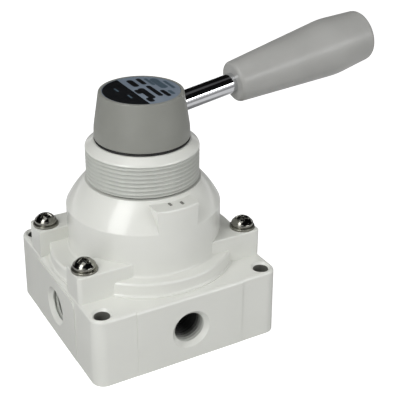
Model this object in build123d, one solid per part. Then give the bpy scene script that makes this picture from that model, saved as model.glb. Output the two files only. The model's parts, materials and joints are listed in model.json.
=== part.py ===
from build123d import *
import os
from math import asin, atan, cos, degrees, radians, sin

# Hand lever rotary valve, in millimetres.
# The origin is the centre of the base's mounting face. +Z runs up the lever's turning axis,
# +X is where the lever points in its middle position, and -Y is the front.

# ---- Base casting ----
BASE_WIDTH = 72.0             # X
BASE_DEPTH = 72.0             # Y
BASE_HEIGHT = 26.0
BASE_CORNER_R = 4.5
BASE_EDGE_R = 1.2
PORT_PAD_STEP = 0.5           # flat port pads stand this far out of the cast sides, at the top
PORT_PAD_FOOT_STEP = 0.1      # and at the foot, because the cast sides have draft
FRONT_PAD_WIDTH = 41.0
SIDE_PAD_WIDTH = 36.4
SIDE_PAD_DROP = 1.8           # side pads end below the base's top
SIDE_PAD_CORNER_R = 3.2
MOUNT_INSET = 5.0             # through holes, in from the sides
MOUNT_HOLE_D = 5.5            # clearance for M5
MOUNT_MOUTH_BEVEL = 0.8

# ---- Ports: G1/4 ----
PORT_TAP_D = 11.445           # thread core diameter
PORT_THREAD_D = 13.157
PORT_BEVEL = 0.7              # how far the bevelled mouth is wider than the thread
PORT_DEPTH = 12.0
PORT_Z = 12.4
GALLERY_D = 7.0               # drilling from a port to its riser
RISER_D = 6.5                 # drilling up to the seat
RISER_CIRCLE_R = 12.5
PORT_ANGLES = (0, 90, 180, 270)

# ---- Seat plate ----
SEAT_R = 22.5
SEAT_THICKNESS = 4.5
SEAT_RECESS = 1.5             # seat face below the casting joint
SEAT_SEAL_SECTION = 1.4
SEAT_SEAL_WALL = 0.35         # metal between a riser and the inside of its seal
DOWEL_D = 3.0
DOWEL_LENGTH = 6.0
DOWEL_ANGLES = (45, 225)

# ---- Joint seal between the castings ----
JOINT_SEAL_R = 26.2
JOINT_SEAL_SECTION = 1.6
SEAL_GROOVE_ROOM = 0.3        # side room for a seal in its groove

# ---- Cover casting ----
CHAMBER_R = 23.6
CHAMBER_HEIGHT = 12.0
DOME_R = 27.6
DOME_WALL_HEIGHT = 21.2       # cylinder, from the joint to the cone
DOME_EDGE_R = 1.0
CONE_HEIGHT = 9.4
CONE_TOP_R = 20.6
CONE_BULGE = 0.35             # the cone is slightly crowned
FRONT_SKIRT_INSET = 3.7       # skirt, in from the base's front and rear
SIDE_SKIRT_INSET = 1.6        # skirt, in from the base's left and right sides
SKIRT_HEIGHT = 5.2
SKIRT_EDGE_R = 0.9
SKIRT_COVE_R = 0.9            # cove between the skirt's shelf and the dome
FOOT_FLARE = 0.9
FOOT_LIP = 0.4
LUG_HEIGHT = 10.3             # screw lugs, above the joint
LUG_HALF_WIDTH = 5.15         # from the screw's axis, in Y
LUG_CORNER_R = 1.6
LUG_EDGE_R = 0.5
PLAQUE_HEIGHT = 8.5           # index plaque, above the cone's lower edge
PLAQUE_TOP_WIDTH = 15.6
PLAQUE_FOOT_WIDTH = 14.4
PLAQUE_EDGE_R = 0.6

# ---- Threaded collar for panel mounting: M40 x 1.5 ----
COLLAR_D = 40.0
COLLAR_THREAD_LENGTH = 11.6
COLLAR_RELIEF_WIDTH = 0.8
COLLAR_RELIEF_DEPTH = 0.9
COLLAR_BEVEL_HEIGHT = 2.1
COLLAR_BEVEL_WIDTH = 2.9
COLLAR_EDGE_R = 0.9
NECK_R = 12.5                 # stub that the hub turns over
NECK_HEIGHT = 2.9

# ---- Dust seal in the gap under the hub ----
DUST_SEAL_R = 16.2
DUST_SEAL_THICKNESS = 0.7
DUST_SEAL_ROOM = 0.05         # radial, over the neck

# ---- Cover screws: M4 pan head, with plain washers ----
SCREW_INSET = 5.0             # screws, in from the left and right sides
LEDGE_DEPTH = 13.0            # base left bare in front of the lugs and behind them
SCREW_D = 4.0
SCREW_CORE_D = 3.6            # mean thread diameter, where the screw bites
SCREW_HEAD_D = 8.0
SCREW_HEAD_HEIGHT = 3.5
SCREW_RIM_HEIGHT = 0.9        # straight edge below the head's crown
SCREW_LENGTH = 20.0
SCREW_WASHER_D = 9.0
SCREW_WASHER_THICKNESS = 1.0
SCREW_WASHER_HOLE_D = 4.3
SCREW_WASHER_EDGE = 0.2       # rounded edge of a pressed washer
SCREW_SPOT_DEPTH = 0.3
SCREW_SPOT_ROOM = 0.2         # spot face radius beyond the washer
SCREW_HOLE_ROOM = 0.25        # radial, in the cover
SCREW_TAP_SPARE = 1.5         # tapped hole beyond the screw's end

# ---- Slide disc ----
DISC_R = 20.0
DISC_THICKNESS = 7.5
KIDNEY_WIDTH = 6.5
KIDNEY_DEPTH = 3.2
KIDNEY_SWEEP = 90.0
SPRING_RECESS_DEPTH = 1.5
DOG_SLOT_FLOOR = 2.5          # disc left below the dog slot
DOG_WIDTH = 8.0
DOG_END_ROOM = 0.5
DOG_FIT = 0.05

# ---- Disc spring ----
SPRING_WIRE = 1.4
SPRING_MEAN_R = 8.6
SPRING_LENGTH = 8.5
SPRING_TURNS = 2.5
SPRING_ROOM = 0.5             # radial room for the spring in its recess

# ---- Shaft ----
SHAFT_R = 6.0
SHAFT_END_R = 5.0
SHAFT_FLAT_X = 4.3            # the end's flat, for the lever rod's tip
FLANGE_THICKNESS = 8.0
SHAFT_END_HEIGHT = 8.0
SHAFT_RUNNING_FIT = 0.03      # radial, in the bushing
SHAFT_BORE_FIT = 0.05         # radial, in the casting
FLANGE_FIT = 0.2              # radial, in the detent bore
WASHER_THICKNESS = 1.0
WASHER_R = 11.4
BUSHING_WALL = 1.5
BUSHING_LENGTH = 16.0
SHAFT_SEAL_HEIGHT = 4.0       # seal's mid-plane above the ceiling
SHAFT_SEAL_DEPTH = 1.6
SHAFT_SEAL_SQUEEZE_ROOM = 0.02

# ---- Detent and stop ----
DETENT_BORE_R = 17.0
BALL_R = 2.5
BALL_CLEARANCE = 0.05         # ball to bore, between the notches
BALL_TRAVEL = 0.6             # out into a notch
BALL_HOLE_FIT = 0.03
NOTCH_FIT = 0.12
TURN_LIMIT = 45.0             # degrees each way from the middle
DETENT_WIRE = 0.8
DETENT_SPRING_MEAN_R = 1.8
DETENT_SPRING_TURNS = 7.0
STOP_HALF_ANGLE = 10.0
STOP_SPARE_ANGLE = 0.6
STOP_INNER_R = 12.2
STOP_ROOM = 0.3

# ---- Lever hub ----
HUB_GAP = 0.9                 # between the collar and the hub
HUB_BOTTOM_R = 16.8
HUB_TOP_R = 14.6
HUB_HEIGHT = 16.4
HUB_WAIST_HEIGHT = 4.0        # the lower part is almost straight
HUB_WAIST_R = 16.6
HUB_EDGE_R = 0.5
HUB_NECK_ROOM = 1.0           # radial, over the neck
HUB_NECK_CLEARANCE = 0.5      # above the neck
HUB_BORE_FIT = 0.03
LABEL_R = 13.4
LABEL_THICKNESS = 0.4
LABEL_ROOM = 0.1
HUB_SCREW_LENGTH = 12.0
HUB_SCREW_HEAD_R = 4.25
HUB_SCREW_HEAD_HEIGHT = 3.0
HUB_SCREW_SOCKET_R = 1.9
HUB_SCREW_SOCKET_DEPTH = 1.8
HUB_SCREW_ROOM = 0.5          # around and above the head
THREAD_FIT = 0.02             # radial, between engaged threads

# ---- Lever ----
LEVER_TILT = 9.7              # degrees above level
LEVER_HEIGHT = 6.7            # where its axis meets the shaft's axis, above the hub's bottom
ROD_R = 3.6
ROD_TIP_BEVEL = 1.0
ROD_TIP_GAP = 0.1             # to the shaft's flat
ROD_GRIP_DEPTH = 40.0
GRIP_START = 36.8             # along the lever from the shaft's axis
GRIP_START_R = 7.4
GRIP_WIDEST = 78.3
GRIP_WIDEST_R = 10.8
GRIP_END = 94.4
GRIP_END_R = 9.4
GRIP_START_EDGE_R = 1.4
GRIP_END_EDGE_R = 2.2
GRIP_CROWN_R = 30.0           # rounding at the widest place
GRIP_BORE_SPARE = 1.0

# ---- Levels worked out from the sizes above ----
JOINT_Z = BASE_HEIGHT
SEAT_FACE_Z = JOINT_Z - SEAT_RECESS
SEAT_FLOOR_Z = SEAT_FACE_Z - SEAT_THICKNESS
DISC_TOP_Z = SEAT_FACE_Z + DISC_THICKNESS
SPRING_SEAT_Z = DISC_TOP_Z - SPRING_RECESS_DEPTH
FLANGE_Z = SPRING_SEAT_Z + SPRING_LENGTH
FLANGE_TOP_Z = FLANGE_Z + FLANGE_THICKNESS
BALL_Z = FLANGE_Z + FLANGE_THICKNESS / 2
CEILING_Z = FLANGE_TOP_Z + WASHER_THICKNESS
SHAFT_SEAL_Z = CEILING_Z + SHAFT_SEAL_HEIGHT
DOME_EDGE_Z = JOINT_Z + DOME_WALL_HEIGHT
COLLAR_Z = DOME_EDGE_Z + CONE_HEIGHT
COLLAR_THREAD_Z = COLLAR_Z + COLLAR_RELIEF_WIDTH
COLLAR_BEVEL_Z = COLLAR_THREAD_Z + COLLAR_THREAD_LENGTH
COLLAR_TOP_Z = COLLAR_BEVEL_Z + COLLAR_BEVEL_HEIGHT
NECK_TOP_Z = COLLAR_TOP_Z + NECK_HEIGHT
HUB_Z = COLLAR_TOP_Z + HUB_GAP
HUB_TOP_Z = HUB_Z + HUB_HEIGHT
HUB_SHOULDER_Z = NECK_TOP_Z + HUB_NECK_CLEARANCE
SHAFT_TOP_Z = HUB_SHOULDER_Z + SHAFT_END_HEIGHT
LABEL_SEAT_Z = HUB_TOP_Z - LABEL_THICKNESS - LABEL_ROOM
HUB_SCREW_Z = LABEL_SEAT_Z - HUB_SCREW_HEAD_HEIGHT - HUB_SCREW_ROOM
LEVER_Z = HUB_Z + LEVER_HEIGHT
SCREW_SPOT_Z = JOINT_Z + LUG_HEIGHT - SCREW_SPOT_DEPTH
SCREW_SEAT_Z = SCREW_SPOT_Z + SCREW_WASHER_THICKNESS

# ---- Radii and lengths worked out from the sizes above ----
BUSHING_R = SHAFT_R + SHAFT_RUNNING_FIT + BUSHING_WALL
SHAFT_BORE_R = SHAFT_R + SHAFT_BORE_FIT
FLANGE_R = DETENT_BORE_R - FLANGE_FIT
BALL_PLACE_R = DETENT_BORE_R - BALL_CLEARANCE - BALL_R
FRONT_SKIRT_R = BASE_DEPTH / 2 - FRONT_SKIRT_INSET
SIDE_SKIRT_R = BASE_WIDTH / 2 - SIDE_SKIRT_INSET
SCREW_X = BASE_WIDTH / 2 - SCREW_INSET
SCREW_Y = BASE_DEPTH / 2 - LEDGE_DEPTH - LUG_HALF_WIDTH
SCREW_PLACES = [(sx * SCREW_X, sy * SCREW_Y) for sx in (-1, 1) for sy in (-1, 1)]
MOUNT_X = BASE_WIDTH / 2 - MOUNT_INSET
MOUNT_Y = BASE_DEPTH / 2 - MOUNT_INSET
ROD_TIP = (SHAFT_FLAT_X + ROD_TIP_GAP + ROD_R * sin(radians(LEVER_TILT))) / cos(radians(LEVER_TILT))
ROD_END = GRIP_START + ROD_GRIP_DEPTH
TOUCH = 0.5                   # overlap of solids that are fused, and overrun of cuts


def spun(outline, rounds=()):
    """Turn a closed (radius, height) outline about +Z, with some of its corners rounded."""
    face = make_face(outline)
    for corner, radius in rounds:
        face = fillet(face.vertices().sort_by_distance(corner)[0], radius)
    return revolve(Plane.XZ * face, Axis.Z)


def disc(radius, bottom, top):
    """Cylinder about the Z axis between two levels."""
    return Pos(0, 0, bottom) * Cylinder(radius, top - bottom, align=(Align.CENTER, Align.CENTER, Align.MIN))


def at_angle(angle, shape):
    return Rot(0, 0, angle) * shape


def drilled_out(radius, start, stop, height):
    """Horizontal drilling along +X from one distance to another."""
    hole = Cylinder(radius, stop - start, align=(Align.CENTER, Align.CENTER, Align.MIN))
    return Pos(start, 0, height) * Rot(0, 90, 0) * hole


def along_lever(shape):
    """Place a shape that was made about +Z on the lever's axis."""
    return Pos(0, 0, LEVER_Z) * Rot(0, 90 - LEVER_TILT, 0) * shape


def coil(mean_r, wire, length, turns):
    """Open coil spring that stands on Z = 0, joined from short lengths of wire."""
    rise = length - wire
    count = round(2 * turns)
    path = Helix(pitch=rise / turns, height=rise / count, radius=mean_r)
    section = Plane(origin=path @ 0, z_dir=path % 0) * Circle(wire / 2)
    piece = sweep(section, path=path, is_frenet=True)
    pieces = [Pos(0, 0, wire / 2 + rise * i / count) * Rot(0, 0, 360 * turns * i / count) * piece
              for i in range(count)]
    return pieces[0].fuse(*pieces[1:])


# ---------------------------------------------------------------- base

def port_reach(angle):
    """Distance from the centre to the port pad that faces this way."""
    return BASE_WIDTH / 2 if angle % 180 == 0 else BASE_DEPTH / 2


def port_cut(angle):
    reach = port_reach(angle)
    mouth_r = PORT_THREAD_D / 2 + PORT_BEVEL
    bevel = mouth_r - PORT_TAP_D / 2
    tapped = drilled_out(PORT_TAP_D / 2, reach - PORT_DEPTH, reach + TOUCH, PORT_Z)
    mouth = Cone(PORT_TAP_D / 2, mouth_r, bevel, align=(Align.CENTER, Align.CENTER, Align.MAX))
    mouth = Pos(reach, 0, PORT_Z) * Rot(0, 90, 0) * mouth
    gallery = drilled_out(GALLERY_D / 2, RISER_CIRCLE_R, reach - PORT_DEPTH + TOUCH, PORT_Z)
    riser = Pos(RISER_CIRCLE_R, 0, 0) * disc(RISER_D / 2, PORT_Z, SEAT_FLOOR_Z + TOUCH)
    heel = Pos(RISER_CIRCLE_R, 0, PORT_Z) * Sphere(GALLERY_D / 2)
    return at_angle(angle, tapped + mouth + gallery + riser + heel)


def port_pads():
    """Flat pads around the ports. The front and rear pads have the block's own edge rounding on top."""
    pads = []
    for angle in PORT_ANGLES:
        if angle % 180 == 0:
            pad = Box(BASE_CORNER_R, SIDE_PAD_WIDTH, BASE_HEIGHT - SIDE_PAD_DROP,
                      align=(Align.MAX, Align.CENTER, Align.MIN))
            pad = fillet(pad.edges().filter_by(Axis.X).group_by(Axis.Z)[-1], SIDE_PAD_CORNER_R)
        else:
            pad = Box(BASE_CORNER_R, FRONT_PAD_WIDTH, BASE_HEIGHT, align=(Align.MAX, Align.CENTER, Align.MIN))
            outer_top = pad.edges().filter_by(Axis.Y).sort_by(Axis.Z)[-2:].sort_by(Axis.X)[-1]
            pad = fillet(outer_top, BASE_EDGE_R)
        pads.append(at_angle(angle, Pos(port_reach(angle), 0, 0) * pad))
    return pads


def seat_seal_r():
    return RISER_D / 2 + SEAT_SEAL_WALL + SEAT_SEAL_SECTION / 2


def dowel_places():
    return [(RISER_CIRCLE_R * cos(radians(a)), RISER_CIRCLE_R * sin(radians(a))) for a in DOWEL_ANGLES]


def make_base_block():
    foot_size = (BASE_WIDTH - 2 * PORT_PAD_FOOT_STEP, BASE_DEPTH - 2 * PORT_PAD_FOOT_STEP)
    draft = degrees(atan((PORT_PAD_STEP - PORT_PAD_FOOT_STEP) / BASE_HEIGHT))
    block = extrude(RectangleRounded(*foot_size, BASE_CORNER_R), BASE_HEIGHT, taper=draft)
    block = fillet(block.edges().group_by(Axis.Z)[-1], BASE_EDGE_R)
    for pad in port_pads():
        block += pad
    for x in (-MOUNT_X, MOUNT_X):
        for y in (-MOUNT_Y, MOUNT_Y):
            block -= Pos(x, y, 0) * disc(MOUNT_HOLE_D / 2, -TOUCH, BASE_HEIGHT + TOUCH)
            mouth = Cone(MOUNT_HOLE_D / 2, MOUNT_HOLE_D / 2 + MOUNT_MOUTH_BEVEL, MOUNT_MOUTH_BEVEL,
                         align=(Align.CENTER, Align.CENTER, Align.MAX))
            block -= Pos(x, y, BASE_HEIGHT) * mouth
    for angle in PORT_ANGLES:
        block -= port_cut(angle)
        seal_seat = disc(seat_seal_r() + SEAT_SEAL_SECTION / 2, SEAT_FLOOR_Z - SEAT_SEAL_SECTION,
                         SEAT_FLOOR_Z + TOUCH)
        block -= at_angle(angle, Pos(RISER_CIRCLE_R, 0, 0) * seal_seat)
    block -= disc(SEAT_R, SEAT_FLOOR_Z, BASE_HEIGHT + TOUCH)
    groove_half = JOINT_SEAL_SECTION / 2 + SEAL_GROOVE_ROOM
    groove = disc(JOINT_SEAL_R + groove_half, JOINT_Z - JOINT_SEAL_SECTION, JOINT_Z + TOUCH)
    groove -= disc(JOINT_SEAL_R - groove_half, JOINT_Z - JOINT_SEAL_SECTION, JOINT_Z + TOUCH)
    block -= groove
    tap_bottom = SCREW_SEAT_Z - SCREW_LENGTH - SCREW_TAP_SPARE
    for x, y in SCREW_PLACES:
        block -= Pos(x, y, 0) * disc(SCREW_CORE_D / 2 + THREAD_FIT, tap_bottom, JOINT_Z + TOUCH)
    for x, y in dowel_places():
        block -= Pos(x, y, 0) * disc(DOWEL_D / 2, SEAT_FLOOR_Z - DOWEL_LENGTH / 2, SEAT_FLOOR_Z + TOUCH)
    return block


def make_seat_seals():
    ring = Pos(RISER_CIRCLE_R, 0, SEAT_FLOOR_Z - SEAT_SEAL_SECTION / 2)
    ring = ring * Torus(seat_seal_r(), SEAT_SEAL_SECTION / 2)
    return Compound(children=[at_angle(angle, ring) for angle in PORT_ANGLES])


def make_seat_dowels():
    pin = disc(DOWEL_D / 2, SEAT_FLOOR_Z - DOWEL_LENGTH / 2, SEAT_FLOOR_Z + DOWEL_LENGTH / 2)
    pin = chamfer(pin.edges().filter_by(GeomType.CIRCLE), DOWEL_D / 10)
    return Compound(children=[Pos(x, y, 0) * pin for x, y in dowel_places()])


def make_seat_plate():
    plate = disc(SEAT_R, SEAT_FLOOR_Z, SEAT_FACE_Z)
    for angle in PORT_ANGLES:
        port = Pos(RISER_CIRCLE_R, 0, 0) * disc(RISER_D / 2, SEAT_FLOOR_Z - TOUCH, SEAT_FACE_Z + TOUCH)
        plate -= at_angle(angle, port)
    for x, y in dowel_places():
        plate -= Pos(x, y, 0) * disc(DOWEL_D / 2, SEAT_FLOOR_Z - TOUCH, SEAT_FLOOR_Z + DOWEL_LENGTH / 2)
    return plate


def make_joint_seal():
    return Pos(0, 0, JOINT_Z - JOINT_SEAL_SECTION / 2) * Torus(JOINT_SEAL_R, JOINT_SEAL_SECTION / 2)


# ---------------------------------------------------------------- cover

def skirt(radius):
    """Low round step at the cover's foot, with a cove up to the dome."""
    foot_z = JOINT_Z + FOOT_LIP
    shelf_z = JOINT_Z + SKIRT_HEIGHT
    top_z = shelf_z + SKIRT_COVE_R + TOUCH
    outline = Polyline((0, JOINT_Z), (radius + FOOT_FLARE, JOINT_Z), (radius + FOOT_FLARE, foot_z),
                       (radius, foot_z), (radius, shelf_z), (DOME_R, shelf_z), (DOME_R, top_z),
                       (0, top_z), close=True)
    widest = (radius - DOME_R) * 0.45
    rounds = (((radius, foot_z), FOOT_FLARE * 0.95), ((radius, shelf_z), min(SKIRT_EDGE_R, widest)),
              ((DOME_R, shelf_z), min(SKIRT_COVE_R, widest)))
    return spun(outline, rounds)


def dome():
    """Cylinder, crowned cone, threaded collar and neck."""
    collar_r = COLLAR_D / 2
    relief_r = collar_r - COLLAR_RELIEF_DEPTH
    bevel_r = collar_r - COLLAR_BEVEL_WIDTH
    crown = ((DOME_R + CONE_TOP_R) / 2 + CONE_BULGE, (DOME_EDGE_Z + COLLAR_Z) / 2 + CONE_BULGE)
    wall = Polyline((0, NECK_TOP_Z), (0, JOINT_Z), (DOME_R, JOINT_Z), (DOME_R, DOME_EDGE_Z))
    cone = ThreePointArc((DOME_R, DOME_EDGE_Z), crown, (CONE_TOP_R, COLLAR_Z))
    top = Polyline((CONE_TOP_R, COLLAR_Z), (relief_r, COLLAR_Z), (relief_r, COLLAR_THREAD_Z),
                   (collar_r, COLLAR_THREAD_Z), (collar_r, COLLAR_BEVEL_Z), (bevel_r, COLLAR_TOP_Z),
                   (NECK_R, COLLAR_TOP_Z), (NECK_R, NECK_TOP_Z), (0, NECK_TOP_Z))
    rounds = (((DOME_R, DOME_EDGE_Z), DOME_EDGE_R), ((collar_r, COLLAR_BEVEL_Z), COLLAR_EDGE_R),
              ((bevel_r, COLLAR_TOP_Z), COLLAR_EDGE_R))
    return spun(wall + cone + top, rounds)


def lug_bar(side):
    """One bar carries the two screw lugs on one side and runs through the dome."""
    bar = Box(BASE_WIDTH - 2 * PORT_PAD_STEP, 2 * LUG_HALF_WIDTH, LUG_HEIGHT,
              align=(Align.CENTER, Align.CENTER, Align.MIN))
    outer = bar.edges().filter_by(Axis.Z).sort_by(Axis.Y)[-2:]
    bar = fillet(outer, LUG_CORNER_R)
    bar = fillet(bar.edges().group_by(Axis.Z)[-1], LUG_EDGE_R)
    bar = Pos(0, SCREW_Y, JOINT_Z) * bar
    return bar if side > 0 else mirror(bar, Plane.XZ)


def plaque():
    """Flat-topped block on the front of the cone, for the position marks."""
    top_z = DOME_EDGE_Z + PLAQUE_HEIGHT
    foot_z = DOME_EDGE_Z - DOME_EDGE_R - TOUCH
    front = make_face(Polyline((-PLAQUE_FOOT_WIDTH / 2, foot_z), (PLAQUE_FOOT_WIDTH / 2, foot_z),
                               (PLAQUE_TOP_WIDTH / 2, top_z), (-PLAQUE_TOP_WIDTH / 2, top_z), close=True))
    wedge = extrude(Plane.XZ * front, DOME_R + TOUCH)
    block = wedge & disc(DOME_R, foot_z, top_z)
    front_top = block.edges().group_by(Axis.Z)[-1].sort_by(Axis.Y)[0]
    return fillet(front_top, PLAQUE_EDGE_R)


def detent_notches():
    """Upright grooves in the detent bore, one for each ball at each lever position."""
    cuts = []
    for ball_angle in (90, 270):
        for turn in (-TURN_LIMIT, 0, TURN_LIMIT):
            groove = disc(BALL_R + NOTCH_FIT, JOINT_Z + CHAMBER_HEIGHT - TOUCH, CEILING_Z)
            cuts.append(at_angle(ball_angle + turn, Pos(BALL_PLACE_R + BALL_TRAVEL, 0, 0) * groove))
    return cuts


def sector(inner_r, outer_r, half_angle, bottom, top):
    """Ring sector about the -X direction."""
    inner = [Vector(-inner_r, 0).rotate(Axis.Z, a) for a in (half_angle, -half_angle)]
    outer = [Vector(-outer_r, 0).rotate(Axis.Z, a) for a in (-half_angle, half_angle)]
    edges = ThreePointArc(inner[0], Vector(-inner_r, 0), inner[1]) + Line(inner[1], outer[0])
    edges += ThreePointArc(outer[0], Vector(-outer_r, 0), outer[1]) + Line(outer[1], inner[0])
    return Pos(0, 0, bottom) * extrude(make_face(edges), top - bottom)


def make_cover():
    cover = dome() + skirt(FRONT_SKIRT_R)
    between_lugs = Box(2 * BASE_WIDTH, 2 * (SCREW_Y - LUG_HALF_WIDTH) + TOUCH, 2 * BASE_HEIGHT)
    cover += skirt(SIDE_SKIRT_R) & (Pos(0, 0, JOINT_Z) * between_lugs)
    for side in (-1, 1):
        cover += lug_bar(side)
    cover += plaque()
    chamber_top = JOINT_Z + CHAMBER_HEIGHT
    cover -= disc(CHAMBER_R, JOINT_Z - TOUCH, chamber_top)
    cover -= disc(DETENT_BORE_R, chamber_top - TOUCH, CEILING_Z)
    for notch in detent_notches():
        cover -= notch
    cover += sector(STOP_INNER_R, DETENT_BORE_R + TOUCH, STOP_HALF_ANGLE, FLANGE_Z, CEILING_Z + TOUCH)
    cover -= disc(SHAFT_BORE_R, CEILING_Z - TOUCH, NECK_TOP_Z + TOUCH)
    cover -= disc(BUSHING_R, NECK_TOP_Z - BUSHING_LENGTH, NECK_TOP_Z + TOUCH)
    for x, y in SCREW_PLACES:
        cover -= Pos(x, y, 0) * disc(SCREW_D / 2 + SCREW_HOLE_ROOM, JOINT_Z - TOUCH, SCREW_SPOT_Z + TOUCH)
        spot = disc(SCREW_WASHER_D / 2 + SCREW_SPOT_ROOM, SCREW_SPOT_Z, SCREW_SEAT_Z)
        cover -= Pos(x, y, 0) * spot
    return cover


def make_cover_screws():
    head_r = SCREW_HEAD_D / 2
    rim = SCREW_RIM_HEIGHT
    rise = SCREW_HEAD_HEIGHT - rim
    crown_r = (head_r ** 2 + rise ** 2) / (2 * rise)
    half_angle = asin(head_r / crown_r) / 2
    tip_z = -SCREW_LENGTH
    bite_z = JOINT_Z - SCREW_SEAT_Z
    shank = Polyline((0, SCREW_HEAD_HEIGHT), (0, tip_z), (SCREW_CORE_D / 2, tip_z), (SCREW_CORE_D / 2, bite_z),
                     (SCREW_D / 2, bite_z), (SCREW_D / 2, 0), (head_r, 0), (head_r, rim))
    mid = (crown_r * sin(half_angle), SCREW_HEAD_HEIGHT - crown_r * (1 - cos(half_angle)))
    crown = ThreePointArc((head_r, rim), mid, (0, SCREW_HEAD_HEIGHT))
    screw = spun(shank + crown)
    return Compound(children=[Pos(x, y, SCREW_SEAT_Z) * screw for x, y in SCREW_PLACES])


def make_screw_washers():
    washer = disc(SCREW_WASHER_D / 2, SCREW_SPOT_Z, SCREW_SEAT_Z)
    washer = fillet(washer.edges().group_by(Axis.Z)[-1], SCREW_WASHER_EDGE)
    washer -= disc(SCREW_WASHER_HOLE_D / 2, SCREW_SPOT_Z - TOUCH, SCREW_SEAT_Z + TOUCH)
    return Compound(children=[Pos(x, y, 0) * washer for x, y in SCREW_PLACES])


def make_dust_seal():
    ring = disc(DUST_SEAL_R, COLLAR_TOP_Z, COLLAR_TOP_Z + DUST_SEAL_THICKNESS)
    return ring - disc(NECK_R + DUST_SEAL_ROOM, COLLAR_TOP_Z - TOUCH, NECK_TOP_Z)


def make_shaft_bushing():
    bushing = disc(BUSHING_R, NECK_TOP_Z - BUSHING_LENGTH, NECK_TOP_Z)
    return bushing - disc(SHAFT_R + SHAFT_RUNNING_FIT, JOINT_Z, NECK_TOP_Z + TOUCH)


def make_thrust_washer():
    washer = disc(WASHER_R, FLANGE_TOP_Z, CEILING_Z)
    return washer - disc(SHAFT_BORE_R, FLANGE_TOP_Z - TOUCH, CEILING_Z + TOUCH)


# ---------------------------------------------------------------- rotor

def dog(fit, bottom, top):
    """Shaft end with two flats that turns the slide disc."""
    return disc(SHAFT_R + fit, bottom, top) & Box(DOG_WIDTH + 2 * fit, 4 * SHAFT_R, 4 * top)


def make_slide_disc():
    body = disc(DISC_R, SEAT_FACE_Z, DISC_TOP_Z)
    body = chamfer(body.edges().group_by(Axis.Z)[-1], TOUCH)
    for middle in (0, 180):
        arc = CenterArc((0, 0), RISER_CIRCLE_R, middle - KIDNEY_SWEEP / 2, KIDNEY_SWEEP)
        kidney = extrude(SlotArc(arc, KIDNEY_WIDTH), KIDNEY_DEPTH)
        body -= Pos(0, 0, SEAT_FACE_Z) * kidney
    recess_r = SPRING_MEAN_R + SPRING_WIRE / 2 + SPRING_ROOM
    body -= disc(recess_r, SPRING_SEAT_Z, DISC_TOP_Z + TOUCH)
    body -= dog(DOG_FIT, SEAT_FACE_Z + DOG_SLOT_FLOOR, DISC_TOP_Z + TOUCH)
    return body


def make_disc_spring():
    return Pos(0, 0, SPRING_SEAT_Z) * coil(SPRING_MEAN_R, SPRING_WIRE, SPRING_LENGTH, SPRING_TURNS)


def make_shaft():
    shaft = dog(0, SEAT_FACE_Z + DOG_SLOT_FLOOR + DOG_END_ROOM, DISC_TOP_Z)
    shaft += disc(SHAFT_R, DISC_TOP_Z, HUB_SHOULDER_Z)
    flange = disc(FLANGE_R, FLANGE_Z, FLANGE_TOP_Z)
    flange -= sector(STOP_INNER_R - STOP_ROOM, FLANGE_R + TOUCH,
                     TURN_LIMIT + STOP_HALF_ANGLE + STOP_SPARE_ANGLE, FLANGE_Z - TOUCH, FLANGE_TOP_Z + TOUCH)
    shaft += flange
    end = disc(SHAFT_END_R, HUB_SHOULDER_Z - TOUCH, SHAFT_TOP_Z)
    end -= Pos(SHAFT_FLAT_X, 0, HUB_SHOULDER_Z) * Box(SHAFT_END_R, 2 * SHAFT_END_R, 2 * SHAFT_END_HEIGHT,
                                                     align=(Align.MIN, Align.CENTER, Align.MIN))
    shaft += end
    cross = Cylinder(BALL_R + BALL_HOLE_FIT, 2 * FLANGE_R + 2 * TOUCH)
    shaft -= Pos(0, 0, BALL_Z) * Rot(90, 0, 0) * cross
    groove = disc(SHAFT_R + TOUCH, SHAFT_SEAL_Z - shaft_seal_half(), SHAFT_SEAL_Z + shaft_seal_half())
    shaft -= groove - disc(SHAFT_R - SHAFT_SEAL_DEPTH, JOINT_Z, HUB_Z)
    shaft -= disc(SCREW_CORE_D / 2 + THREAD_FIT, HUB_SCREW_Z - HUB_SCREW_LENGTH - SCREW_TAP_SPARE,
                  SHAFT_TOP_Z + TOUCH)
    return shaft


def shaft_seal_half():
    """Half the height of the seal's groove."""
    return shaft_seal_section_r() + SEAL_GROOVE_ROOM


def shaft_seal_section_r():
    return (SHAFT_SEAL_DEPTH + SHAFT_BORE_FIT - SHAFT_SEAL_SQUEEZE_ROOM) / 2


def make_shaft_seal():
    section_r = shaft_seal_section_r()
    return Pos(0, 0, SHAFT_SEAL_Z) * Torus(SHAFT_R - SHAFT_SEAL_DEPTH + section_r, section_r)


def make_detent_ball(side):
    return Pos(0, side * BALL_PLACE_R, BALL_Z) * Sphere(BALL_R)


def make_detent_spring():
    length = 2 * (BALL_PLACE_R - BALL_R)
    spring = coil(DETENT_SPRING_MEAN_R, DETENT_WIRE, length, DETENT_SPRING_TURNS)
    return Pos(0, length / 2, BALL_Z) * Rot(90, 0, 0) * spring


# ---------------------------------------------------------------- lever

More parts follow.
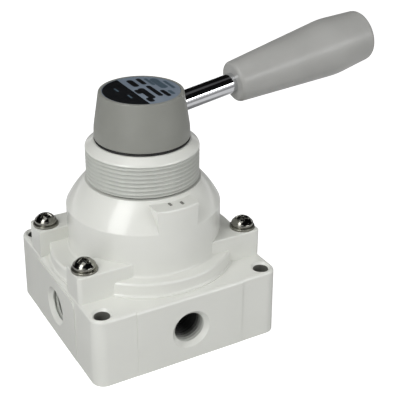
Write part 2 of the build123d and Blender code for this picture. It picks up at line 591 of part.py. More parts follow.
def make_lever_hub():
    waist_z = HUB_Z + HUB_WAIST_HEIGHT
    outline = Polyline((0, HUB_Z), (HUB_BOTTOM_R, HUB_Z), (HUB_WAIST_R, waist_z), (HUB_TOP_R, HUB_TOP_Z),
                       (0, HUB_TOP_Z), close=True)
    rounds = (((HUB_BOTTOM_R, HUB_Z), HUB_EDGE_R), ((HUB_WAIST_R, waist_z), HUB_WAIST_R),
              ((HUB_TOP_R, HUB_TOP_Z), HUB_EDGE_R))
    hub = spun(outline, rounds)
    hub -= disc(NECK_R + HUB_NECK_ROOM, HUB_Z - TOUCH, HUB_SHOULDER_Z)
    bore = disc(SHAFT_END_R + HUB_BORE_FIT, HUB_SHOULDER_Z - TOUCH, SHAFT_TOP_Z + HUB_NECK_CLEARANCE)
    flat = Pos(SHAFT_FLAT_X + HUB_BORE_FIT, 0, HUB_Z)
    bore -= flat * Box(SHAFT_END_R, 4 * SHAFT_END_R, 4 * SHAFT_END_HEIGHT,
                       align=(Align.MIN, Align.CENTER, Align.MIN))
    hub -= bore
    hub -= disc(SCREW_D / 2 + SCREW_HOLE_ROOM, SHAFT_TOP_Z, LABEL_SEAT_Z)
    hub -= disc(HUB_SCREW_HEAD_R + HUB_SCREW_ROOM, HUB_SCREW_Z, LABEL_SEAT_Z + TOUCH)
    hub -= disc(LABEL_R + LABEL_ROOM, LABEL_SEAT_Z, HUB_TOP_Z + TOUCH)
    hub -= along_lever(disc(ROD_R + THREAD_FIT, SHAFT_FLAT_X, 2 * HUB_BOTTOM_R))
    return hub


def make_hub_screw():
    tip_z = HUB_SCREW_Z - HUB_SCREW_LENGTH
    screw = disc(SCREW_D / 2, SHAFT_TOP_Z, HUB_SCREW_Z) + disc(SCREW_CORE_D / 2, tip_z, SHAFT_TOP_Z)
    head = disc(HUB_SCREW_HEAD_R, HUB_SCREW_Z, HUB_SCREW_Z + HUB_SCREW_HEAD_HEIGHT)
    head = chamfer(head.edges().group_by(Axis.Z)[-1], HUB_SCREW_HEAD_R / 10)
    socket = extrude(RegularPolygon(HUB_SCREW_SOCKET_R, 6), -HUB_SCREW_SOCKET_DEPTH)
    head -= Pos(0, 0, HUB_SCREW_Z + HUB_SCREW_HEAD_HEIGHT) * socket
    return screw + head


def make_hub_label():
    return disc(LABEL_R, LABEL_SEAT_Z, LABEL_SEAT_Z + LABEL_THICKNESS)


def make_lever_rod():
    rod = disc(ROD_R, ROD_TIP, ROD_END)
    return along_lever(chamfer(rod.edges().group_by(Axis.Z)[0], ROD_TIP_BEVEL))


def make_grip():
    outline = Polyline((0, GRIP_START), (GRIP_START_R, GRIP_START), (GRIP_WIDEST_R, GRIP_WIDEST),
                       (GRIP_END_R, GRIP_END), (0, GRIP_END), close=True)
    rounds = (((GRIP_START_R, GRIP_START), GRIP_START_EDGE_R), ((GRIP_WIDEST_R, GRIP_WIDEST), GRIP_CROWN_R),
              ((GRIP_END_R, GRIP_END), GRIP_END_EDGE_R))
    grip = spun(outline, rounds)
    grip -= disc(ROD_R + THREAD_FIT, GRIP_START - TOUCH, ROD_END + GRIP_BORE_SPARE)
    return along_lever(grip)


PARTS = {
    "base_block": make_base_block,
    "seat_seals": make_seat_seals,
    "seat_dowels": make_seat_dowels,
    "seat_plate": make_seat_plate,
    "joint_seal": make_joint_seal,
    "cover": make_cover,
    "cover_screws": make_cover_screws,
    "screw_washers": make_screw_washers,
    "dust_seal": make_dust_seal,
    "shaft_bushing": make_shaft_bushing,
    "thrust_washer": make_thrust_washer,
    "slide_disc": make_slide_disc,
    "disc_spring": make_disc_spring,
    "shaft": make_shaft,
    "shaft_seal": make_shaft_seal,
    "detent_ball_front": lambda: make_detent_ball(-1),
    "detent_ball_rear": lambda: make_detent_ball(1),
    "detent_spring": make_detent_spring,
    "lever_hub": make_lever_hub,
    "hub_screw": make_hub_screw,
    "hub_label": make_hub_label,
    "lever_rod": make_lever_rod,
    "grip": make_grip,
}

os.makedirs("parts", exist_ok=True)
for name, make in PARTS.items():
    export_step(make(), f"parts/{name}.step")
    print("wrote", name)
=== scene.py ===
import json
from math import cos, pi, radians, sin

import bpy
import bmesh
import numpy as np
from mathutils import Matrix, Vector

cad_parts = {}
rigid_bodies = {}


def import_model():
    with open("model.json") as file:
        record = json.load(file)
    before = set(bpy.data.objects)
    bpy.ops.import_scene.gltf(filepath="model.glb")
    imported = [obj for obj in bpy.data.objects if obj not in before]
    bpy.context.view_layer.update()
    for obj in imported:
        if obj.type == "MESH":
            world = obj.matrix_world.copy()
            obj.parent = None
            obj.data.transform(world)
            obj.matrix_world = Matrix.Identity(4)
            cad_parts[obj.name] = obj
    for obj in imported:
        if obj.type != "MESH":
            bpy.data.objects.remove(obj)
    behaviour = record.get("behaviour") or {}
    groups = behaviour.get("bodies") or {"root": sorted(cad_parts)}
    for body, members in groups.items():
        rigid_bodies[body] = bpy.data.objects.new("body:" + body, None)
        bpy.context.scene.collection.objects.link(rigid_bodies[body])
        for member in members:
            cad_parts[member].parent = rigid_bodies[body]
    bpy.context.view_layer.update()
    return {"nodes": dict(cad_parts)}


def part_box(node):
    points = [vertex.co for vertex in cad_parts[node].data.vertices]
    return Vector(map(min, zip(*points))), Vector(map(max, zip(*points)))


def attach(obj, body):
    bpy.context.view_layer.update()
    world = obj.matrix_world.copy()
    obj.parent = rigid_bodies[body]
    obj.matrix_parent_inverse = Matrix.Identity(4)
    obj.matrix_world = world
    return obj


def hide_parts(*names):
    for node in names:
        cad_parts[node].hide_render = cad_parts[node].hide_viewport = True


for left_over in list(bpy.data.objects):
    bpy.data.objects.remove(left_over)

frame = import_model()
nodes = frame["nodes"]
MM = 0.001

# Sizes that the pieces share with the solids, in metres.
AXIS_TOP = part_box("shaft_bushing")[1].z          # top of the collar's neck
COLLAR_R = 20.0 * MM
COLLAR_ROOT_R = 19.1 * MM                        # bottom of the thread's grooves
COLLAR_PITCH = 1.5 * MM
COLLAR_BEVEL_Z = AXIS_TOP - 5.0 * MM             # where the thread ends, under the bevel
COLLAR_THREAD_Z = COLLAR_BEVEL_Z - 11.6 * MM     # where it starts, over the undercut
COLLAR_UNDERCUT = 0.9 * MM                       # height that holds the undercut's faces
COLLAR_FADE = (0.4 * MM, 0.6 * MM)               # run-out of the thread, below and above
PLAQUE_TOP = AXIS_TOP - 18.3 * MM
PORT_ANGLES = {"front": 0, "right": 90, "rear": 180, "left": 270}
PORT_CORE_R = 5.7225 * MM
PORT_ROOT_R = 6.55 * MM
PORT_PITCH = 1.337 * MM
PORT_Z = 12.4 * MM
PORT_FACE = 36.0 * MM                            # from the middle out to the ports' pads
PORT_MOUTH = PORT_FACE - 1.556 * MM              # inner end of the mouth's bevel
PORT_END = PORT_FACE - 12.0 * MM                 # inner end of the thread
PORT_FADE = (1.2 * MM, 0.35 * MM)                # run-out of the thread, inside and at the mouth
MOUNT_OFF = 31.0 * MM
MOUNT_HOLE_R = 2.75 * MM
SCREW_HEAD_R = 4.0 * MM
SCREW_HEAD_HEIGHT = 3.5 * MM
SCREW_RIM_HEIGHT = 0.9 * MM
SEAL_INNER_R = 12.6 * MM
SEAL_TO_HUB = 0.04 * MM                          # gap under the hub
SEAL_INSIDE_HUB = 0.02 * MM                      # how far the lip stays inside the hub's side

# How far a solid's point may be from the wall or the level that it is on.
ON_WALL = 4e-6
ON_LEVEL = 1e-5


def add_object(name, data):
    """An object for a mesh, a lamp or a camera, in the scene."""
    item = bpy.data.objects.new(name, data)
    bpy.context.scene.collection.objects.link(item)
    return item


# ---------------------------------------------------------------- camera

def look_from(place, yaw, pitch, roll, lens):
    """A camera at a place, with its turns in degrees and its lens in mm."""
    data = bpy.data.cameras.new("camera")
    data.lens = lens
    data.sensor_width = 36.0
    data.clip_start = 0.01
    camera = add_object("camera", data)
    turn = (Matrix.Rotation(radians(-yaw), 4, "Z")
            @ Matrix.Rotation(pi / 2 + radians(pitch), 4, "X")
            @ Matrix.Rotation(radians(roll), 4, "Z"))
    camera.matrix_world = Matrix.Translation(place) @ turn
    bpy.context.scene.camera = camera


# ---------------------------------------------------------------- material nodes

def new_material(name, **constants):
    """A material with a Principled shader, whose constants are set on its own sockets."""
    material = bpy.data.materials.new(name)
    material.use_nodes = True
    tree = material.node_tree
    shader = tree.nodes["Principled BSDF"]
    for key, value in constants.items():
        shader.inputs[key.replace("_", " ")].default_value = value
    return material, tree, shader


def add(tree, kind, **settings):
    """A node with its options, and constants on its sockets."""
    node = tree.nodes.new(kind)
    for key, value in settings.items():
        if hasattr(node, key):
            setattr(node, key, value)
        else:
            node.inputs[key.replace("_", " ")].default_value = value
    return node


def feed(tree, value, socket):
    """Links a socket to another one, or sets it if the value is a constant."""
    if isinstance(value, bpy.types.NodeSocket):
        tree.links.new(value, socket)
    else:
        socket.default_value = value


def object_place(tree):
    """Where a point is on its object, in metres."""
    return add(tree, "ShaderNodeTexCoord").outputs["Object"]


def noise(tree, place, scale, detail=3.0, roughness=0.5):
    """Noise about 0.5."""
    node = add(tree, "ShaderNodeTexNoise", Scale=scale, Detail=detail, Roughness=roughness)
    tree.links.new(place, node.inputs["Vector"])
    return node.outputs["Fac"]


def spread(tree, value, low, high, start=0.3, end=0.7):
    """Low up to start, high from end on, and a smooth step between them."""
    node = add(tree, "ShaderNodeMapRange", interpolation_type="SMOOTHSTEP", From_Min=start,
               From_Max=end, To_Min=low, To_Max=high)
    tree.links.new(value, node.inputs["Value"])
    return node.outputs["Result"]


def mixed(tree, factor, first, second, kind="RGBA"):
    """A mix of two colours, or of two numbers where kind is FLOAT."""
    node = add(tree, "ShaderNodeMix", data_type=kind)
    first_socket, second_socket, result = {"RGBA": (6, 7, 2), "FLOAT": (2, 3, 0)}[kind]
    feed(tree, factor, node.inputs[0])
    feed(tree, first, node.inputs[first_socket])
    feed(tree, second, node.inputs[second_socket])
    return node.outputs[result]


def maths(tree, operation, *values):
    """The result of a maths node on constants or other nodes' sockets."""
    node = add(tree, "ShaderNodeMath", operation=operation)
    for value, socket in zip(values, node.inputs):
        feed(tree, value, socket)
    return node.outputs[0]


def bumped(tree, height, strength, distance, onto=None):
    """A normal for a height, on top of another bump where one is given."""
    node = add(tree, "ShaderNodeBump", Strength=strength, Distance=distance)
    tree.links.new(height, node.inputs["Height"])
    if onto is not None:
        tree.links.new(onto, node.inputs["Normal"])
    return node.outputs["Normal"]


def side_reach(tree, place):
    """How far a point is from the upright axis towards the base's sides."""
    off_axis = add(tree, "ShaderNodeVectorMath", operation="ABSOLUTE")
    tree.links.new(place, off_axis.inputs[0])
    split = add(tree, "ShaderNodeSeparateXYZ")
    tree.links.new(off_axis.outputs[0], split.inputs[0])
    return maths(tree, "MAXIMUM", split.outputs["X"], split.outputs["Y"])


def rgb(red, green, blue):
    """A colour given as it shows on a screen, 0 to 255."""
    return tuple(((c / 255 + 0.055) / 1.055) ** 2.4 if c > 10 else c / 255 / 12.92
                 for c in (red, green, blue)) + (1.0,)


# ---------------------------------------------------------------- materials

def enamel():
    """Semi-gloss off-white enamel on a die casting: faint orange peel over a cast skin."""
    material, tree, shader = new_material("cast_enamel", IOR=1.5, Coat_Weight=0.5,
                                          Coat_Roughness=0.1)
    place = object_place(tree)
    tone = mixed(tree, spread(tree, noise(tree, place, 38, 4), 0.0, 1.0),
                 rgb(223, 224, 218), rgb(227, 228, 222))
    tree.links.new(tone, shader.inputs["Base Color"])
    tree.links.new(spread(tree, noise(tree, place, 140, 3), 0.285, 0.32),
                   shader.inputs["Roughness"])
    skin = bumped(tree, noise(tree, place, 160, 2), 0.05, 0.0004)
    tree.links.new(bumped(tree, noise(tree, place, 700, 1), 0.08, 0.00006, skin),
                   shader.inputs["Normal"])
    return material


def moulded(name, low, high, roughness, grain=1500.0, gloss=0.5):
    """Moulded plastic or satin paint with a fine grain."""
    material, tree, shader = new_material(name, IOR=1.47, Specular_IOR_Level=gloss)
    place = object_place(tree)
    tree.links.new(mixed(tree, spread(tree, noise(tree, place, 60, 4), 0.0, 1.0), low, high),
                   shader.inputs["Base Color"])
    tree.links.new(spread(tree, noise(tree, place, 220, 3), roughness - 0.05, roughness + 0.06),
                   shader.inputs["Roughness"])
    wave = bumped(tree, noise(tree, place, 90, 2), 0.06, 0.0008)
    tree.links.new(bumped(tree, noise(tree, place, grain, 2), 0.25, 0.00005, wave),
                   shader.inputs["Normal"])
    return material


def metal(name, low, high, roughness, scratches=0.0, stretch=(1.0, 1.0, 1.0)):
    """Bare or plated metal with a slightly uneven polish and fine tool marks."""
    material, tree, shader = new_material(name, Metallic=1.0)
    place = object_place(tree)
    tree.links.new(mixed(tree, spread(tree, noise(tree, place, 120, 3), 0.0, 1.0), low, high),
                   shader.inputs["Base Color"])
    lines = add(tree, "ShaderNodeMapping", Scale=stretch)
    tree.links.new(place, lines.inputs["Vector"])
    marks = noise(tree, lines.outputs["Vector"], 400, 4, 0.6)
    tree.links.new(spread(tree, marks, roughness * 0.7, roughness * 1.5),
                   shader.inputs["Roughness"])
    if scratches:
        tree.links.new(bumped(tree, marks, scratches, 0.00004), shader.inputs["Normal"])
    return material


def bore_shade_material():
    """Painted shade in the ports: near-black deep inside, going over to the enamel's tone through a
    ragged edge over the first turns of thread.
    """
    deep_shade, painted = rgb(38, 40, 38), rgb(206, 208, 202)
    material, tree, shader = new_material("port_bore_painted_shade", Roughness=0.45, Specular_IOR_Level=0.3)
    place = object_place(tree)
    # Painted shade: near-black deep in the bore, turning to the enamel's tone towards the mouth.
    ragged = maths(tree, "MULTIPLY_ADD", noise(tree, place, 500, 3), 1.6 * MM,
                   side_reach(tree, place))
    paint = spread(tree, ragged, 0.0, 1.0, PORT_FACE - 7.0 * MM, PORT_FACE - 1.0 * MM)
    tree.links.new(mixed(tree, paint, deep_shade, painted), shader.inputs["Base Color"])
    tree.links.new(bumped(tree, noise(tree, place, 1300, 2), 0.2, 0.00005),
                   shader.inputs["Normal"])
    return material


cast = enamel()
port_bore_painted_shade = bore_shade_material()

hub_paint = moulded("hub_satin", rgb(136, 137, 131), rgb(142, 143, 137), 0.36)
grip_paint = moulded("grip_satin", rgb(165, 165, 162), rgb(172, 172, 169), 0.34, grain=900.0)
turned = moulded("turned_collar", rgb(190, 192, 187), rgb(200, 202, 196), 0.34, grain=1100.0)
# Dark grey: painted shade for the collar's relief groove, and also the index ticks' own dark
# colour.
groove_shade_and_tick_grey = moulded("collar_groove_shade_and_ticks", rgb(112, 113, 108), rgb(128, 129, 123), 0.5, gloss=0.25)
# Dark grey: painted shade on the mounting holes' walls.
hole_wall_shade = moulded("hole_wall_painted_shade", rgb(92, 93, 88), rgb(110, 111, 105), 0.5, gloss=0.25)
acetal = moulded("white_acetal", rgb(228, 228, 223), rgb(236, 236, 232), 0.35)
rubber = moulded("black_nitrile", rgb(24, 24, 24), rgb(34, 34, 34), 0.6)
label_silver = moulded("label_silver", rgb(112, 124, 138), rgb(130, 141, 154), 0.4, gloss=0.35)
label_black = moulded("label_black", rgb(8, 9, 12), rgb(15, 17, 21), 0.35, gloss=0.15)
label_slate = moulded("label_slate", rgb(66, 82, 94), rgb(80, 96, 108), 0.4, gloss=0.3)

chrome = metal("rod_chrome", rgb(214, 215, 218), rgb(226, 227, 230), 0.07)
nickel = metal("screw_nickel", rgb(140, 139, 132), rgb(156, 155, 148), 0.1, 0.15)
zinc = metal("zinc_washer", rgb(150, 149, 140), rgb(170, 169, 160), 0.32, 0.3)
steel = metal("ground_steel", rgb(170, 170, 170), rgb(188, 188, 187), 0.3, 0.3, (1, 1, 12))
wire = metal("spring_wire", rgb(120, 120, 122), rgb(140, 140, 141), 0.35, 0.2)
bronze = metal("sintered_bronze", rgb(168, 128, 80), rgb(186, 148, 96), 0.45, 0.4)
anodised = metal("anodised_seat", rgb(150, 150, 148), rgb(166, 166, 163), 0.4, 0.2)

WORN_BY = (
    (cast, ("base_block", "cover")),
    (steel, ("seat_dowels", "hub_screw", "detent_ball_front", "detent_ball_rear", "shaft")),
    (rubber, ("seat_seals", "joint_seal", "shaft_seal", "dust_seal")),
    (wire, ("disc_spring", "detent_spring")),
    (acetal, ("slide_disc", "thrust_washer")),
    (anodised, ("seat_plate",)),
    (bronze, ("shaft_bushing",)),
    (nickel, ("cover_screws",)),
    (zinc, ("screw_washers",)),
    (hub_paint, ("lever_hub",)),
    (chrome, ("lever_rod",)),
    (grip_paint, ("grip",)),
    (label_silver, ("hub_label",)),
)
for material, names in WORN_BY:
    for name in names:
        for slot in nodes[name].material_slots:
            slot.material = material


# ---------------------------------------------------------------- meshes

def ring(radius, z, count):
    """Points on a level circle about the upright axis."""
    return [(radius * cos(2 * pi * s / count), radius * sin(2 * pi * s / count), z)
            for s in range(count)]


def smooth_mesh(name, points, faces, closed=True):
    """A smooth mesh without double points. A closed one has its faces turned outwards."""
    mesh = bpy.data.meshes.new(name)
    mesh.from_pydata(points, [], faces)
    work = bmesh.new()
    work.from_mesh(mesh)
    if closed:
        bmesh.ops.remove_doubles(work, verts=work.verts, dist=1e-7)
        bmesh.ops.recalc_face_normals(work, faces=work.faces)
    else:
        bmesh.ops.remove_doubles(work, verts=work.verts, dist=2e-7)
        bmesh.ops.dissolve_degenerate(work, edges=work.edges, dist=1e-7)
    for face in work.faces:
        face.smooth = True
    work.to_mesh(mesh)
    work.free()
    return mesh


def cut_copy(node, name, gone):
    """A copy of a solid's mesh without the faces where gone(face) holds, shaded as before."""
    mesh = nodes[node].data.copy()
    mesh.name = name
    normals = np.zeros(len(mesh.loops) * 3, np.float32)
    mesh.corner_normals.foreach_get("vector", normals)
    kept = mesh.attributes.new("kept", "FLOAT_VECTOR", "CORNER")
    kept.data.foreach_set("vector", normals)
    work = bmesh.new()
    work.from_mesh(mesh)
    bmesh.ops.delete(work, geom=[f for f in work.faces if gone(f)], context="FACES")
    work.to_mesh(mesh)
    work.free()
    normals = np.zeros(len(mesh.loops) * 3, np.float32)
    mesh.attributes["kept"].data.foreach_get("vector", normals)
    mesh.attributes.remove(mesh.attributes["kept"])
    mesh.normals_split_custom_set(normals.reshape(-1, 3))
    return add_object(name, mesh)


# ---------------------------------------------------------------- threads

# One turn of a thread as places along the pitch, each with its share of the depth.
THREAD_PROFILE = ((0.0, 0.0), (0.06, 0.0), (0.13, 0.10), (0.28, 0.52), (0.42, 0.92),
                  (0.50, 1.0), (0.58, 1.0), (0.66, 0.92), (0.80, 0.52), (0.94, 0.10))


def thread(name, crest, root, pitch, bottom, top, fade, columns=144):
    """A helical thread about +Z between two levels, from which it fades in and out.

    Its rows of points follow the helix. The root is inside the crest on a rod and outside
    it in a hole.
    """
    turns = int((top - bottom) / pitch) + 3
    points, faces = [], []
    rows = [(turn + phase, depth) for turn in range(-1, turns)
            for phase, depth in THREAD_PROFILE]
    for column in range(columns + 1):
        angle = 2 * pi * column / columns
        for phase, depth in rows:
            z = min(max(bottom + pitch * (phase - 1 + column / columns), bottom), top)
            ends = min(1.0, (z - bottom) / fade[0], (top - z) / fade[1])
            radius = crest + (root - crest) * depth * max(ends, 0.0)
            points.append((radius * cos(angle), radius * sin(angle), z))
    for column in range(columns):
        for row in range(len(rows) - 1):
            a = column * len(rows) + row
            b = a + len(rows)
            faces.append((a, b, b + 1, a + 1) if root < crest else (a, a + 1, b + 1, b))
    return add_object(name, smooth_mesh(name, points, faces, closed=False))


def from_axis(place):
    """Distance of a place from the upright axis."""
    return Vector(place[:2]).length


def threaded_collar():
    """The cover with real turns on its collar and dark grey painted shade in the relief groove
    below them.
    """
    levels = []

    def on_thread(face):
        places = [v.co for v in face.verts]
        if not all(abs(from_axis(p) - COLLAR_R) < ON_WALL
                   and COLLAR_THREAD_Z - ON_LEVEL < p.z < COLLAR_BEVEL_Z + ON_LEVEL
                   for p in places):
            return False
        levels.extend(p.z for p in places)
        return True

    body = cut_copy("cover", "cover_casting", on_thread)
    turns = thread("collar_thread", COLLAR_R, COLLAR_ROOT_R, COLLAR_PITCH, min(levels),
                   max(levels), COLLAR_FADE)
    turns.data.materials.append(turned)
    body.data.materials.append(groove_shade_and_tick_grey)
    # The relief groove's faces get the dark grey as painted shade.
    for face in body.data.polygons:
        places = [body.data.vertices[v].co for v in face.vertices]
        if all(COLLAR_THREAD_Z - COLLAR_UNDERCUT < p.z < COLLAR_THREAD_Z + ON_LEVEL
               and COLLAR_ROOT_R - ON_LEVEL < from_axis(p) < COLLAR_R + ON_WALL
               for p in places):
            face.material_index = 1
    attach(body, "valve_body")
    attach(turns, "valve_body")
    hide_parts("cover")


def from_port(place, angle):
    """Distance of a place from a port's axis, and how far out along the axis it is."""
    out = Vector((sin(angle), -cos(angle), 0))
    across = Vector((-out.y, out.x, 0))
    return Vector((place @ across, place.z - PORT_Z)).length, place @ out


def in_mount_hole(places):
    """Whether a face's points are on the straight wall of a mounting hole."""
    return all(abs(Vector((abs(p.x) - MOUNT_OFF, abs(p.y) - MOUNT_OFF)).length
                   - MOUNT_HOLE_R) < ON_WALL for p in places)


def threaded_ports():
    """The base with real turns in its ports, painted shade deep inside them, and dark grey painted
    shade on the mounting holes' walls.
    """
    angles = [radians(a) for a in PORT_ANGLES.values()]

    def on_thread(face):
        for angle in angles:
            if all(abs(off - PORT_CORE_R) < ON_WALL
                   and PORT_END - ON_LEVEL < along < PORT_MOUTH + ON_LEVEL
                   for off, along in (from_port(v.co, angle) for v in face.verts)):
                return True
        return False

    def in_port(places):
        for angle in angles:
            if all(off < PORT_CORE_R + ON_WALL and along > 0
                   for off, along in (from_port(p, angle) for p in places)):
                return True
        return False

    body = cut_copy("base_block", "base_casting", on_thread)
    body.data.materials.append(port_bore_painted_shade)
    body.data.materials.append(hole_wall_shade)
    for face in body.data.polygons:
        places = [body.data.vertices[v].co for v in face.vertices]
        # The ports' walls get the port material with its painted shade.
        if in_port(places):
            face.material_index = 1
        # The mounting holes' walls get dark grey as painted shade.
        elif in_mount_hole(places):
            face.material_index = 2
    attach(body, "valve_body")
    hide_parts("base_block")
    for side, angle in zip(PORT_ANGLES, angles):
        turns = thread("port_thread_" + side, PORT_CORE_R, PORT_ROOT_R, PORT_PITCH, PORT_END,
                       PORT_MOUTH, PORT_FADE, 96)
        turns.data.transform(Matrix.Translation((0, 0, PORT_Z))
                             @ Matrix.Rotation(angle, 4, "Z") @ Matrix.Rotation(pi / 2, 4, "X"))
        # The port threads carry the same painted shade.
        turns.data.materials.append(port_bore_painted_shade)
        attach(turns, "valve_body")


# ---------------------------------------------------------------- cover screws

def screw_head(name, place, turn):
    """Pan head with a cross recess. Its crown is part of a sphere, with a rounded rim."""
    rise = SCREW_HEAD_HEIGHT - SCREW_RIM_HEIGHT
    crown_r = (SCREW_HEAD_R ** 2 + rise ** 2) / 2 / rise
    edge_r, foot_bevel, foot_z = 0.35 * MM, 0.12 * MM, 0.15 * MM
    flat_r = SCREW_HEAD_R - edge_r
    half_width, wing_length, depth = 0.55 * MM, 2.4 * MM, 2.0 * MM
    soft_side, soft_end = 0.12 * MM, 0.25 * MM
    crown_rings, edge_rings, around = 44, 4, 128

    def crown(radius):
        return SCREW_HEAD_HEIGHT - crown_r + (crown_r ** 2 - radius ** 2) ** 0.5

    def soft(edge, value, width):
        """1 inside an edge and 0 outside it."""
        t = min(max((edge - value) / width + 0.5, 0.0), 1.0)
        return t * t * (3 - 2 * t)

    points, faces = [], []
    for step in range(crown_rings + 1):
        radius = flat_r * step / crown_rings
        floor = 0.35 + 0.65 * max(1 - radius / wing_length, 0.0)
        for x, y, z in ring(radius, crown(radius), around):
            arm = max(soft(half_width, abs(x), soft_side) * soft(wing_length, abs(y), soft_end),
                      soft(half_width, abs(y), soft_side) * soft(wing_length, abs(x), soft_end))
            points.append((x, y, z - arm * depth * floor))
    for step in range(1, edge_rings + 1):
        t = pi / 2 * step / edge_rings
        points += ring(SCREW_HEAD_R - edge_r * (1 - sin(t)),
                       SCREW_RIM_HEIGHT + (crown(flat_r) - SCREW_RIM_HEIGHT) * cos(t), around)
    points += ring(SCREW_HEAD_R, foot_z, around)
    points += ring(SCREW_HEAD_R - foot_bevel, 0.0, around)
    for row in range(len(points) // around - 1):
        for step in range(around):
            a, b = row * around + step, row * around + (step + 1) % around
            faces.append((a, a + around, b + around, b))
    mesh = smooth_mesh(name, points, faces)
    mesh.transform(Matrix.Translation(place) @ Matrix.Rotation(turn, 4, "Z"))
    mesh.materials.append(nickel)
    return add_object(name, mesh)


def cover_screws():
    """Four heads in place of the solid ones, each turned as its screw happened to stop."""
    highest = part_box("cover_screws")[1]
    x, y = highest.x - SCREW_HEAD_R, highest.y - SCREW_HEAD_R
    seat = highest.z - SCREW_HEAD_HEIGHT
    turns = {(-1, -1): 0.35, (1, -1): 1.0, (-1, 1): 0.7, (1, 1): 0.15}
    for (sx, sy), turn in turns.items():
        side = ("left_" if sx < 0 else "right_") + ("front" if sy < 0 else "rear")
        head = screw_head("screw_head_" + side, (sx * x, sy * y, seat), turn)
        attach(head, "valve_body")
        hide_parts("cover_screws")


# ---------------------------------------------------------------- dust seal

def seal_lip():
    """The dust seal with a rounded lip that fills the gap under the hub."""
    lowest_hub, highest_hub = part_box("lever_hub")
    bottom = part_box("dust_seal")[0].z
    top = lowest_hub.z - SEAL_TO_HUB
    outer = highest_hub.x - SEAL_INSIDE_HUB
    half = (top - bottom) / 2
    lip_steps, around = 10, 144
    profile = [(SEAL_INNER_R, top), (outer - half, top)]
    for k in range(lip_steps + 1):
        t = pi * k / lip_steps
        profile.append((outer - half + half * sin(t), bottom + half + half * cos(t)))
    profile += [(outer - half, bottom), (SEAL_INNER_R, bottom)]
    points = [(r * cos(2 * pi * s / around), r * sin(2 * pi * s / around), z)
              for s in range(around) for r, z in profile]
    count = len(profile)
    faces = []
    for step in range(around):
        here, there = step * count, (step + 1) % around * count
        for row in range(count):
            after = (row + 1) % count
            faces.append((here + row, here + after, there + after, there + row))
    mesh = smooth_mesh("dust_seal_lip", points, faces)
    mesh.materials.append(rubber)
    piece = add_object("dust_seal_lip", mesh)
    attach(piece, "valve_body")
    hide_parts("dust_seal")


# ---------------------------------------------------------------- label and index marks

LABEL_RADIUS, DARK_EDGE = 13.2, -3.0             # the label's dark part ends at this x, in mm

# Bars on the label in place of its print, each with its x, its two ends in y and its width, in mm.
DARK_BARS = ((0.3, 10.8, 3.6, 2.3), (0.3, 1.8, -8.8, 2.4), (-1.6, 1.0, -3.0, 1.8),
             (3.7, 10.9, 4.4, 1.8), (3.7, 2.8, -8.0, 1.8), (6.1, -3.0, -9.4, 1.7),
             (-1.2, -7.4, -11.4, 2.2))
SOFT_BARS = ((8.3, 8.6, -2.0, 2.8), (6.2, 9.8, 2.4, 1.2), (11.0, 4.6, -3.4, 1.2),
             (8.2, -4.4, -8.4, 1.4))
FAINT_BARS = ((-7.4, 5.6, 2.2, 0.7), (-6.0, -2.0, -5.4, 0.7))


def label_print(name, outlines, lift, material):
    """Flat shapes just above the label."""
    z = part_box("hub_label")[1].z + lift
    points, faces = [], []
    for outline in outlines:
        faces.append(tuple(range(len(points), len(points) + len(outline))))
        points += [(x * MM, y * MM, z) for x, y in outline]
    mesh = bpy.data.meshes.new(name)
    mesh.from_pydata(points, [], faces)
    mesh.materials.append(material)
    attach(add_object(name, mesh), "lever")


def bar(x, y0, y1, width):
    """The outline of a bar along Y with round ends."""
    r = width / 2
    half_turn = [pi * k / 8 for k in range(9)]
    return ([(x + r * cos(t), max(y0, y1) - r + r * sin(t)) for t in half_turn]
            + [(x + r * cos(pi + t), min(y0, y1) + r + r * sin(pi + t)) for t in half_turn])


def label():
    """The label's dark field and its bars. The faint ones lie on the dark field."""
    start = np.arccos(DARK_EDGE / LABEL_RADIUS)
    field = [(LABEL_RADIUS * cos(t), LABEL_RADIUS * sin(t))
             for t in np.linspace(start, 2 * pi - start, 60)]
    label_print("label_dark_field", [field], 0.01 * MM, label_black)
    for name, bars, lift, material in (("label_bars", DARK_BARS, 0.01 * MM, label_black),
                                       ("label_soft_bars", SOFT_BARS, 0.01 * MM, label_slate),
                                       ("label_faint_bars", FAINT_BARS, 0.02 * MM, label_slate)):
        label_print(name, [bar(*sizes) for sizes in bars], lift, material)


def index_ticks():
    """Two small raised ticks on the plaque's shelf."""
    size = (0.9 * MM, 1.9 * MM, 0.5 * MM)
    centre_z = PLAQUE_TOP + 0.05 * MM
    for name, x, y in (("index_tick_left", -1.4, -23.2), ("index_tick_right", 2.6, -24.2)):
        tick = bmesh.new()
        bmesh.ops.create_cube(tick, size=1.0)
        bmesh.ops.scale(tick, vec=size, verts=tick.verts)
        bmesh.ops.bevel(tick, geom=list(tick.edges), offset=0.18 * MM, segments=3, profile=0.5,
                        affect="EDGES")
        for face in tick.faces:
            face.smooth = True
        mesh = bpy.data.meshes.new(name)
        tick.to_mesh(mesh)
        tick.free()
        mesh.transform(Matrix.Translation((x * MM, y * MM, centre_z)))
        # The ticks' own dark grey, the same material as the groove's painted shade.
        mesh.materials.append(groove_shade_and_tick_grey)
        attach(add_object(name, mesh), "valve_body")


# ---------------------------------------------------------------- light and floor

SEEN = 1.0                    # the background, for the camera and in reflections
WORLD_LIGHT = 0.33            # the same world as it lights the object
CEILING = 0.004               # above the horizon, in reflections
LAMP_OVERHEAD = 0.08          # added to it straight above
FLOOR_TONE = 0.62
FLOOR_TONE_IN_GLOSS = 0.38
FLOOR_GLOW = 0.84             # lifts the floor to white where the background is seen
SHEET_GLOW = 0.42             # a pale sheet around the object, in reflections
SHEET_START = (0.085, 0.10)   # where the sheet fades in, in metres from the upright axis
SHEET_END = (0.20, 0.28)      # and out
HORIZON = (0.06, 0.16)        # where white turns into the dark ceiling, as a direction's z
OVERHEAD = (0.93, 0.97)       # where the ceiling turns into the lamp overhead
AIM = Vector((0, 0, 0.05))    # what the lamps face


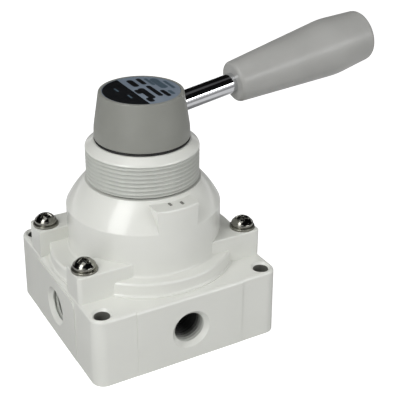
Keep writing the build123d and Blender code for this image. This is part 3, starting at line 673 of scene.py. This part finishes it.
def ray_kinds(tree):
    """1 for rays from the camera or through glass, and 1 for reflected ones."""
    path = add(tree, "ShaderNodeLightPath")
    seen = maths(tree, "MAXIMUM", path.outputs["Is Camera Ray"],
                 path.outputs["Is Transmission Ray"])
    return seen, path.outputs["Is Glossy Ray"]


def stage_floor():
    """A pale floor that keeps the object's shadow and doesn't glow under its base."""
    mesh = bpy.data.meshes.new("floor")
    mesh.from_pydata([(-4, -4, 0), (4, -4, 0), (4, 4, 0), (-4, 4, 0)], [], [(0, 1, 2, 3)])
    floor = add_object("floor", mesh)
    material, tree, shader = new_material("floor", Roughness=0.9, Specular_IOR_Level=0.1)
    shader.inputs["Emission Color"].default_value = (1, 1, 1, 1)
    place = object_place(tree)
    seen, glossy = ray_kinds(tree)
    tree.links.new(mixed(tree, glossy, (FLOOR_TONE,) * 3 + (1,), (FLOOR_TONE_IN_GLOSS,) * 3 + (1,)),
                   shader.inputs["Base Color"])
    away = add(tree, "ShaderNodeVectorMath", operation="LENGTH")
    tree.links.new(place, away.inputs[0])
    sheet = maths(tree, "MULTIPLY",
                  spread(tree, away.outputs["Value"], 0.0, SHEET_GLOW, *SHEET_START),
                  spread(tree, away.outputs["Value"], 1.0, 0.0, *SHEET_END))
    glow = maths(tree, "MULTIPLY_ADD", seen, FLOOR_GLOW,
                 maths(tree, "MULTIPLY", glossy, sheet))
    beyond_base = spread(tree, side_reach(tree, place), 0.0, 1.0,
                         PORT_FACE - 3.0 * MM, PORT_FACE - 2.0 * MM)
    tree.links.new(maths(tree, "MULTIPLY", glow, beyond_base), shader.inputs["Emission Strength"])
    mesh.materials.append(material)


def softbox(name, direction, distance, size, power):
    """An area light that faces the object from a direction."""
    data = bpy.data.lights.new(name, "AREA")
    data.shape = "RECTANGLE"
    data.size, data.size_y = size
    data.energy = power
    light = add_object(name, data)
    light.location = AIM + Vector(direction).normalized() * distance
    light.rotation_euler = (AIM - light.location).to_track_quat("-Z", "Y").to_euler()


def studio_world():
    """White to the camera and at the horizon of reflections, with a dark ceiling above."""
    world = bpy.data.worlds.new("studio")
    bpy.context.scene.world = world
    world.use_nodes = True
    tree = world.node_tree
    background = tree.nodes["Background"]
    background.inputs["Color"].default_value = (1, 1, 1, 1)
    split = add(tree, "ShaderNodeSeparateXYZ")
    tree.links.new(add(tree, "ShaderNodeTexCoord").outputs["Generated"], split.inputs[0])
    height = split.outputs["Z"]
    reflected = maths(tree, "ADD", spread(tree, height, SEEN, CEILING, *HORIZON),
                      spread(tree, height, 0.0, LAMP_OVERHEAD, *OVERHEAD))
    seen, glossy = ray_kinds(tree)
    lit = mixed(tree, glossy, WORLD_LIGHT, reflected, "FLOAT")
    tree.links.new(mixed(tree, seen, lit, SEEN, "FLOAT"), background.inputs["Strength"])


look_from(Vector((-0.1252, -0.2590, 0.1957)), yaw=29.849, pitch=-27.436, roll=0.666, lens=81.0)
threaded_collar()
threaded_ports()
cover_screws()
seal_lip()
label()
index_ticks()
studio_world()
stage_floor()
softbox("key", (-0.707, -0.318, 0.631), 0.518, (0.22, 0.42), 1.36)
softbox("fill", (0.45, -0.82, 0.34), 1.2, (0.8, 0.25), 3.95)
softbox("top", (-0.2, -0.1, 1.0), 0.9, (0.5, 0.5), 0.8)
softbox("left", (-0.768, -0.64, 0.03), 0.39, (0.2, 0.2), 0.08)
bpy.context.scene.view_settings.view_transform = "Standard"
